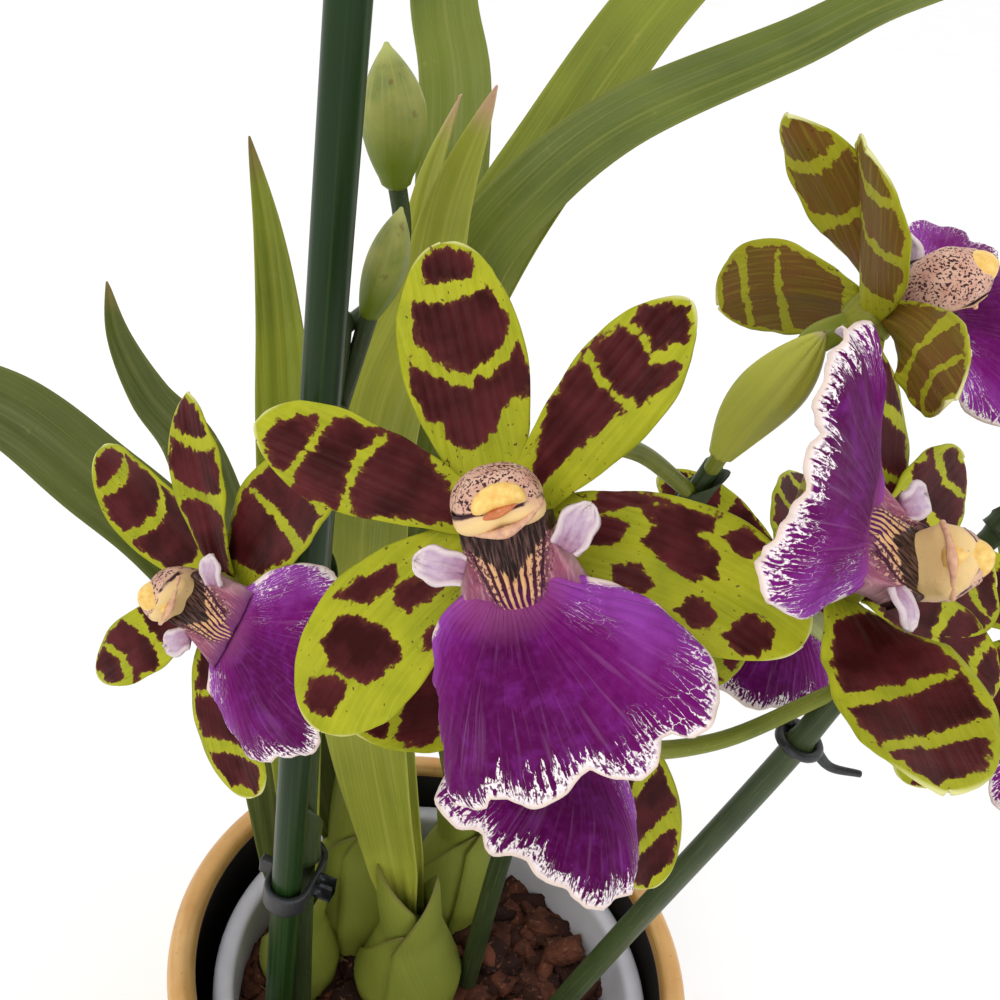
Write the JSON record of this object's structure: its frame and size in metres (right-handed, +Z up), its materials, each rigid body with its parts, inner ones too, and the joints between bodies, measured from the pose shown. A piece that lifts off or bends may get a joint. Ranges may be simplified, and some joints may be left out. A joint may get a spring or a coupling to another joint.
{
  "type": "potted orchid plant",
  "caption": "Flowering zygopetalum orchid with strap leaves, blotched green and maroon flowers and violet lips, in a nursery pot of bark inside a round glazed pot.",
  "frame": {"origin": "centre of the outer pot's flat bottom, on the surface the pot stands on", "axes": "+Z up, -Y towards the viewer that the open flowers face, +X to that viewer's right"},
  "size_m": [0.3365, 0.2631, 0.4226],
  "materials": {
    "tepal": "satin",
    "lip": "satin",
    "column": "satin",
    "anther": "satin",
    "stem": "satin",
    "bud": "satin",
    "bract": "satin",
    "leaf": "satin",
    "pseudobulb": "satin",
    "bark": "rough",
    "stake": "satin",
    "clip": "satin",
    "nursery_pot": "satin",
    "outer_pot": "satin gold glaze, dark inside"
  },
  "bodies": {
    "root": {"dorsal_sepal_a": "tepal", "petal_right_a": "tepal", "petal_left_a": "tepal", "lateral_sepal_right_a": "tepal", "lateral_sepal_left_a": "tepal", "flower_core_a": "stem", "anther_cap_a": "anther", "lip_a": "lip", "column_a": "column", "tepals_b": "tepal", "lip_b": "lip", "column_b": "column", "tepals_c": "tepal", "lip_c": "lip", "column_c": "column", "tepals_d": "tepal", "lip_d": "lip", "column_d": "column", "tepals_e": "tepal", "lip_e": "lip", "column_e": "column", "tepals_f": "tepal", "lip_f": "lip", "column_f": "column", "tepals_g": "tepal", "lip_g": "lip", "column_g": "column", "stake_1": "stake", "spike_1": "stem", "spike_2": "stem", "spike_3": "stem", "pedicel_a": "stem", "pedicel_b": "stem", "pedicel_c": "stem", "pedicel_d": "stem", "pedicel_e": "stem", "pedicel_f": "stem", "pedicel_g": "stem", "bud_1": "bud", "bud_2": "bud", "clip_1": "clip", "clip_2": "clip", "clip_3": "clip", "bract_e": "bract", "leaf_1": "leaf", "leaf_2": "leaf", "leaf_3": "leaf", "leaf_4": "leaf", "leaf_5": "leaf", "leaf_6": "leaf", "leaf_7": "leaf", "leaf_8": "leaf", "leaf_9": "leaf", "pseudobulb_1": "pseudobulb", "pseudobulb_2": "pseudobulb", "pseudobulb_3": "pseudobulb", "pseudobulb_4": "pseudobulb", "bark_bed": "bark", "nursery_pot": "nursery_pot", "outer_pot": "outer_pot"}
  },
  "joints": []
}
